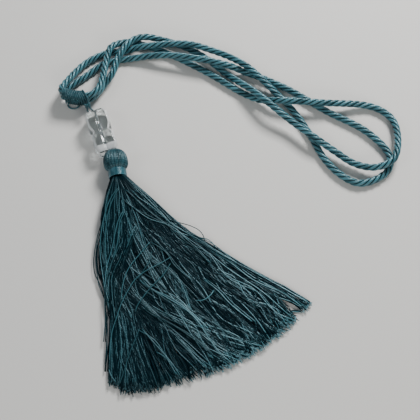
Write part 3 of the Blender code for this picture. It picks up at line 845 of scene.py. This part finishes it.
# ---- skirt
def tip_reach(across):
    """The mean distance of the tips from the neck."""
    for (a, low), (b, high) in zip(SKIRT_REACHES, SKIRT_REACHES[1:]):
        if across <= b:
            return (low + (high - low) * (across - a) / (b - a)) * MM
    return SKIRT_REACHES[-1][1] * MM


def fan_angle(across, reach):
    """The direction, from -Y, in which a thread lies at a distance from the neck."""
    angle = SKIRT_LEFT + (SKIRT_RIGHT - SKIRT_LEFT) * across
    left = max(0.0, 1.0 - reach / LEFT_SWING_REACH)
    right = max(0.0, 1.0 - reach / RIGHT_SWING_REACH)
    angle += SKIRT_LEFT_SWING * left * max(0.0, 1.0 - across) ** 3
    angle += SKIRT_RIGHT_SWING * right * across ** 3
    part = smooth_step((reach - GAP_START) / GAP_LENGTH)
    if across > GAP_AT:
        angle += GAP_RIGHT * part * (1.0 - across) / (1.0 - GAP_AT)
    else:
        angle -= GAP_LEFT * part * math.exp((across - GAP_AT) / GAP_FADE)
    return angle


def skirt_point(across, level, reach):
    """Where a thread passes: across the fan, up through its depth, and out from the neck."""
    axis, side, _ = head_axes()
    root = HEAD_CROWN + axis * (NECK_END - ROOT_INSIDE)
    angle = fan_angle(across, reach)
    settle = smooth_step(reach / SKIRT_SETTLE)
    depth = 2 * level - 1
    roundness = 1.0 - smooth_step(reach / ROUND_REACH)
    round_share = math.sqrt(max(0.0, 1.0 - depth * depth * roundness))
    narrowing = 1 - ROOT_NARROWING * settle
    out = side * (2 * across - 1) * NECK_RADIUS * ROOT_WIDE * round_share * narrowing
    spread = Vector((math.sin(angle), -math.cos(angle), 0.0)) * (reach + ROOT_INSIDE)
    thinning = PILE_THINNING * smooth_step((reach - SKIRT_SETTLE) / THINNING_REACH)
    at_rest = THREAD_RADIUS + FLOOR_GAP + level * ((PILE_DEPTH - thinning) * MM)
    at_root = root.z + depth * NECK_RADIUS * ROOT_HIGH
    spot = root + out + spread
    spot.z = at_root + (at_rest - at_root) * settle
    return spot


def neck_end():
    """The middle of the neck's lower end."""
    return HEAD_CROWN + head_axes()[0] * NECK_END


def pile_top(x, y):
    """How high the pile of threads reaches at a place."""
    root = neck_end()
    settle = smooth_step(math.hypot(x - root.x, y - root.y) / SKIRT_SETTLE)
    return (root.z + ROOT_HIGH * NECK_RADIUS) * (1 - settle) + PILE_TOP * settle


def paint_pile_shade_and_light(piece):
    """Painted shade and light: an attribute that is 0 deep in the pile of threads and near the
    neck, where shade falls, and 1 on top of it and at the tips.

    It goes above 1 as painted light towards the tips on the right, where the light runs along the
    threads.
    """
    tip_ramp, neck_ramp, lit_ramp = 22 * MM, 32 * MM, 70 * MM
    root = neck_end()
    values = []
    for vert in piece.data.vertices:
        reach = math.hypot(vert.co.x - root.x, vert.co.y - root.y)
        settle = smooth_step(reach / SKIRT_SETTLE)
        bottom = (root.z - NECK_RADIUS) * (1 - settle)
        top = pile_top(vert.co.x, vert.co.y)
        angle = math.atan2(vert.co.x - root.x, root.y - vert.co.y)
        across = (angle - SKIRT_LEFT) / (SKIRT_RIGHT - SKIRT_LEFT)
        # Painted light at the tips, from 172 mm out, but not at the left edge.
        at_tip = smooth_step(reach / tip_ramp - 7.8) * smooth_step(0.15 + across * 1.5)
        # Painted shade: dark low in the pile, and a painted shadow near the neck, under the band.
        depth = smooth_step((vert.co.z - bottom) / (top - bottom) * 1.4 - 0.35)
        depth *= 0.25 + 0.75 * smooth_step(reach / neck_ramp)
        # Painted light from 98 mm out, the more the further right.
        lit = smooth_step((across - 0.2) / 0.7) * smooth_step(reach / lit_ramp - 1.4)
        values.append(max(depth, at_tip) * (0.75 + 1.5 * lit))
    set_painted_shade(piece, values)


def skirt_piece(name, lines, radius, material, roundness=1):
    """Threads of the skirt as a finished piece, with painted shade where they lie deep in the pile
    and painted light towards the tips.
    """
    piece = strands(name, lines, radius, material, roundness)
    paint_pile_shade_and_light(piece)
    fits(piece, None)


# How far across the fan a tuft lies, at shares of its length: a fixed part, and a part of where
# its tip lies. The photo's top tufts lean on the left edge first and only fan out lower down.
FLOWS = {
    "left_sweep": [(0.0, 0.45, 0.0), (0.15, 0.36, 0.3), (0.32, 0.20, 0.4), (0.5, 0.02, 0.5),
                   (0.7, 0.0, 0.6), (1.0, 0.0, 1.0)],
    "late_fan": [(0.0, 0.10, 0.25), (0.2, 0.06, 0.18), (0.42, 0.03, 0.16), (0.58, 0.02, 0.35),
                 (0.78, 0.0, 0.74), (1.0, 0.0, 1.0)],
    "right_fan": [(0.0, -0.24, 1.24), (0.5, -0.14, 1.14), (0.8, -0.03, 1.03), (1.0, 0.0, 1.0)],
}
# Layer, flow, tufts, threads in each, where the tips lie, and how far the flow pulls them.
TUFTS = [
    (0, "late_fan", 42, 8, (0.0, 1.0), (0.0, 0.3)),
    (1, "late_fan", 42, 5, (0.0, 0.75), (0.2, 0.8)),
    (1, "right_fan", 32, 5, (0.45, 1.0), (0.3, 1.2)),
    (2, "left_sweep", 30, 5, (0.0, 0.22), (0.7, 1.1)),
    (2, "late_fan", 50, 5, (0.04, 0.72), (0.55, 1.1)),
    (2, "right_fan", 46, 5, (0.45, 1.0), (0.3, 1.6)),
]
LAYER_SWAY = (0.8 * MM, 1.8 * MM, 3.0 * MM)


def tuft_course(flow, tip, pull):
    """The tuft's way, as points of (share of its length, place across the fan)."""
    knots = [Vector((share, tip + pull * (fixed + part * tip - tip), 0.0))
             for share, fixed, part in FLOWS[flow]]
    return smooth_curve(knots, spacing=0.038)


def skirt_thread(rng, course, tuft, offset, level):
    """One thread of a tuft: it sways with the tuft and ends where the scissors left it."""
    tip = tuft["tip"]
    length = tip_reach(min(max(tip + offset, 0.0), 1.0))
    length += tuft["longer"] + rng.uniform(CUT_SHORT, CUT_LONG) * MM
    own_sway = rng.gauss(0.0, OWN_SWAY) * MM
    phase = tuft["phase"] + rng.uniform(-0.5, 0.5)
    line = []
    for stop in course:
        share = stop.x
        reach = length * share
        now = stop.y + offset * (0.4 + 0.6 * share + tuft["loose"] * math.sin(math.pi * share))
        # No thread passes the fan's edges, and those that end near one keep near it.
        now = min(max(now, 0.3 * tip * share), 1.0 - 0.3 * (1.0 - tip) * share)
        spot = skirt_point(now, level, reach)
        angle = fan_angle(now, reach)
        sideways = Vector((math.cos(angle), math.sin(angle), 0.0))
        swing = tuft["sway"] * math.sin(2 * math.pi * reach / tuft["wave"] + phase)
        swing += own_sway * math.sin(2 * math.pi * reach / (OWN_WAVE * tuft["wave"]) + 3 * phase)
        # Threads sway less at the fan's edges, which are crisp, and not at all at the neck.
        edge = min(1.0, 10.0 * min(now, 1.0 - now) + 0.12)
        line.append(spot + sideways * swing * edge * smooth_step(share * 3))
    return line


def frayed_ends(rng, line):
    """Two fine filaments that splay from the end of a thread."""
    ahead = (line[-1] - line[-3]).normalized()
    across = ahead.cross(Vector((0.0, 0.0, 1.0))).normalized()
    ends = []
    for turn in (-1, 1):
        splay = across * turn * rng.uniform(*FRAY_SPLAY)
        splay += Vector((0.0, 0.0, rng.uniform(-0.1, 0.1)))
        length = rng.uniform(*FRAY_LENGTHS) * MM
        end = [line[-1] + ahead * (share - 0.25) * length + splay * share * share * length
               for share in (0.0, 0.35, 0.7, 1.0)]
        ends.append([Vector((spot.x, spot.y, max(spot.z, FRAY_AXIS_MIN))) for spot in end])
    return ends


def skirt(material, frayed):
    """The threads in three layers of tufts, from the floor up, and their frayed ends."""
    rng = random.Random(3)
    ends = []
    for layer, flow, tufts, threads, (first, last), (weak, strong) in TUFTS:
        lines = []
        for number in range(tufts):
            tip = first + (last - first) * (number + rng.uniform(0.1, 0.9)) / tufts
            tuft = {"tip": tip, "sway": rng.gauss(0.0, LAYER_SWAY[layer]),
                    "wave": rng.uniform(60.0, 120.0) * MM, "phase": rng.uniform(0.0, 2 * math.pi),
                    "loose": rng.uniform(0.0, 1.2), "longer": rng.uniform(-6.5, 2.0) * MM}
            course = tuft_course(flow, tip, rng.uniform(weak, strong))
            width = (last - first) / tufts * rng.uniform(0.6, 1.3)
            high = rng.uniform(0.1, 0.6)
            for _ in range(threads):
                offset = rng.uniform(-1.0, 1.0)
                crown = 0.4 * (1.0 - offset * offset) * rng.uniform(0.0, 1.0)
                line = skirt_thread(rng, course, tuft, offset * width,
                                    (layer + high + crown) / len(LAYER_SWAY))
                lines.append(line)
                ends += frayed_ends(rng, line)
        skirt_piece(f"tassel_skirt_{layer + 1}_{flow}", lines, THREAD_RADIUS, material)
    skirt_piece("tassel_frayed_ends", ends, FRAY_RADIUS, frayed, roundness=0)


# Threads that curl away from the fan, where the photo shows them on top of it.
STRAY_ROUTES = [
    [(-54, -35, 7), (-62, -46, 7), (-68, -54, 7), (-73, -63, 7), (-76, -75, 7), (-77, -89, 6)],
    [(-35, -49, 6), (-42, -54, 7), (-51, -59, 7), (-59, -64, 7), (-66, -71, 7), (-71, -80, 7),
     (-76, -91, 7), (-80, -105, 7), (-83, -116, 6), (-84, -128, 6), (-84, -141, 5)],
    [(-35, -55, 6), (-41, -66, 7), (-51, -77, 7), (-57, -85, 7), (-63, -95, 7), (-64, -99, 6)],
    [(-60, -114, 6), (-64, -126, 7), (-68, -137, 6), (-71, -149, 6), (-75, -161, 4)],
    [(-52, -44, 6), (-54, -54, 7), (-58, -61, 7), (-63, -69, 6)],
    [(-48, -9, 9), (-40, -12, 8), (-29, -15, 6), (-18, -18, 5), (-10, -22, 4), (-6, -28, 5),
     (-4, -36, 6)],
    [(-32, -24, 7), (-18, -28, 5), (-10, -29, 4), (-2, -31, 4), (4, -37, 4), (6, -45, 5)],
    [(-59, -70, 6), (-54, -77, 7), (-47, -82, 7), (-39, -88, 7), (-33, -92, 7), (-24, -96, 6),
     (-17, -99, 5)],
    [(-45, -83, 6), (-42, -91, 7), (-38, -99, 6), (-30, -107, 5)],
    [(-12, -89, 6), (-6, -89, 7), (1, -84, 7), (3, -80, 6)],
    [(-45, -134, 5), (-40, -137, 6), (-35, -141, 5)],
    [(-84, -149, 5), (-82, -154, 5), (-78, -159, 4)],
]
# Where pairs of threads catch the light on top of the pile, seen from above.
TOP_ROUTES = [
    [(-79, 16), (-69, 5), (-58, -3), (-38, -18), (-25, -29), (-13, -41), (0, -53)],
    [(-79, 7), (-75, 1), (-66, -6), (-55, -12), (-35, -20), (-21, -33)],
    [(-72, 15), (-63, 7), (-50, -3), (-33, -17), (-10, -31), (3, -38), (23, -54)],
    [(-82, 17), (-89, 2), (-95, -19), (-95, -44), (-91, -75), (-87, -89)],
    [(-76, -3), (-82, -16), (-86, -40), (-90, -63), (-90, -81)],
    [(-67, -20), (-74, -42), (-83, -63), (-84, -81), (-80, -105)],
    [(-59, -93), (-48, -102), (-33, -110), (-14, -122), (3, -136)],
    [(-59, -114), (-48, -125), (-33, -144), (-26, -153)],
    [(-13, -30), (8, -44), (45, -67), (86, -91)],
    [(-4, -69), (8, -81), (19, -92), (36, -108)],
    [(-52, -32), (-40, -44), (-31, -57), (-15, -72)],
    [(-61, -69), (-52, -78), (-35, -88), (-17, -99), (-3, -114)],
]
# Loose tufts at the left edge: one bends over to it before it falls straight, one bulges out.
# Each has its route, its number of threads and how far apart these lie.
LOOSE_TUFTS = [
    ([(-85, 12, 11), (-80, -4, 9), (-77, -18, 8), (-74, -32, 7), (-76, -44, 7), (-81, -59, 7),
      (-84, -73, 6), (-84, -89, 6), (-83, -107, 5), (-83, -125, 4)], 7, 2.1),
    ([(-92, 12, 11), (-94, -2, 9), (-95, -17, 7), (-97, -32, 5), (-99, -44, 4), (-98, -53, 3),
      (-96, -63, 3), (-92, -74, 3), (-88, -85, 3), (-85, -97, 3), (-83, -112, 3), (-83, -130, 3),
      (-84, -150, 2)], 10, 1.0),
]


def loose_tufts(material):
    """The loose tufts, whose threads lie close at the neck and apart from a few points on."""
    rng = random.Random(7)
    lines = []
    for route, count, apart in LOOSE_TUFTS:
        for i in range(count):
            spots = []
            for k, spot in enumerate(route):
                beside = apart * (i - count / 2) + rng.gauss(0.0, LOOSE_SPREAD)
                shift = Vector((beside, 0.0, 0.3 * (i % 3)))
                spots.append(place(*(Vector(spot) + shift * min(1.0, 0.25 + 0.15 * k))))
            lines.append(smooth_curve(spots, spacing=4.0 * MM))
    skirt_piece("tassel_loose_tufts", lines, THREAD_RADIUS, material)


def stray_threads(material):
    """The threads that curl away, and pairs of threads that lie on top of the pile."""
    rng = random.Random(9)
    lines = [smooth_curve([place(*p) for p in route], spacing=2.5 * MM)
             for route in STRAY_ROUTES]
    for route in TOP_ROUTES:
        for beside in (-STRAY_BESIDE, STRAY_BESIDE):
            spots = [place(x + beside + rng.gauss(0.0, STRAY_SPREAD),
                           y + rng.gauss(0.0, STRAY_SPREAD), 0.0) for x, y in route]
            line = smooth_curve(spots, spacing=2.5 * MM)
            for k, spot in enumerate(line):
                tucked = STRAY_TUCK * MM * (1.0 - smooth_step(k / 3))
                spot.z = pile_top(spot.x, spot.y) + STRAY_RISE - tucked
            lines.append(line)
    skirt_piece("tassel_stray_threads", lines, THREAD_RADIUS, material)


# ---- the whole tieback
def build():
    studio()
    rope_yarn = satin_yarn("twisted_rayon_rope_yarn", "#4C8A98", "#020A0D", yarns=8, along=361.0,
                           ridge=0.09 * MM, roughness=0.36, groove_shade=0.45, reads_painted_shade=True)
    rope("left_bight_of_rope", LEFT_ROUTE, "left_bight_rope", rope_yarn)
    rope("right_bight_of_rope", RIGHT_ROUTE, "right_bight_rope", rope_yarn)

    fine_yarn = satin_yarn("twisted_rayon_fine_cord", "#4C8896", "#081D23", yarns=3, along=300.0,
                           ridge=0.03 * MM, roughness=0.34, reads_painted_shade=True)
    fits(fine_cord("binding_turns", binding_path(), fine_yarn), "binding")
    hanger = fine_cord("hanging_fine_cord", hanger_path(), fine_yarn)
    fits(hanger, "hanging_cord")
    fits(fine_cord("hanging_cord_knot", knot_path(), fine_yarn), None)
    loop = smooth_curve([place(*point) for point in LOOP_ROUTE], FINE_STEP)
    fits(fine_cord("binding_small_loop", loop, fine_yarn), None)

    bead(clear_acrylic(), milky_acrylic_painted_light())

    thread = satin_yarn("twisted_rayon_thread", "#4B838F", "#081B22", yarns=2, along=92.0,
                        ridge=0.04 * MM, roughness=0.36, groove_shade=0.60, spread=0.9, patchy=0.20,
                        rare=4.6, reads_painted_shade=True)
    head_thread = satin_yarn("laid_rayon_thread", "#2C6470", "#03131A", yarns=2, along=16.0,
                             ridge=0.03 * MM, roughness=0.38)
    band_thread = satin_yarn("wound_rayon_thread", "#427F8E", "#082630", yarns=2, along=500.0,
                             ridge=0.02 * MM, roughness=0.24, patchy=1.15)
    head_core(head_thread)
    head_threads(head_thread)
    neck_band(band_thread)
    # Painted light: the stray threads are painted lighter where they lie on top of the pile, and
    # the frayed filaments are painted lighter for the light that they scatter.
    lit_stray_thread = satin_yarn("stray_rayon_thread_painted_light", "#3F7B88", "#051C22", yarns=2, along=30.0,
                              ridge=0.04 * MM, roughness=0.38, groove_shade=0.35, spread=0.7,
                              patchy=0.5, reads_painted_shade=True)
    filament = satin_yarn("frayed_rayon_filament", "#5F919D", "#06191E", yarns=1, along=3.0,
                          ridge=0.01 * MM, roughness=0.50, reads_painted_shade=True)
    skirt(thread, filament)
    loose_tufts(thread)
    stray_threads(lit_stray_thread)


build()
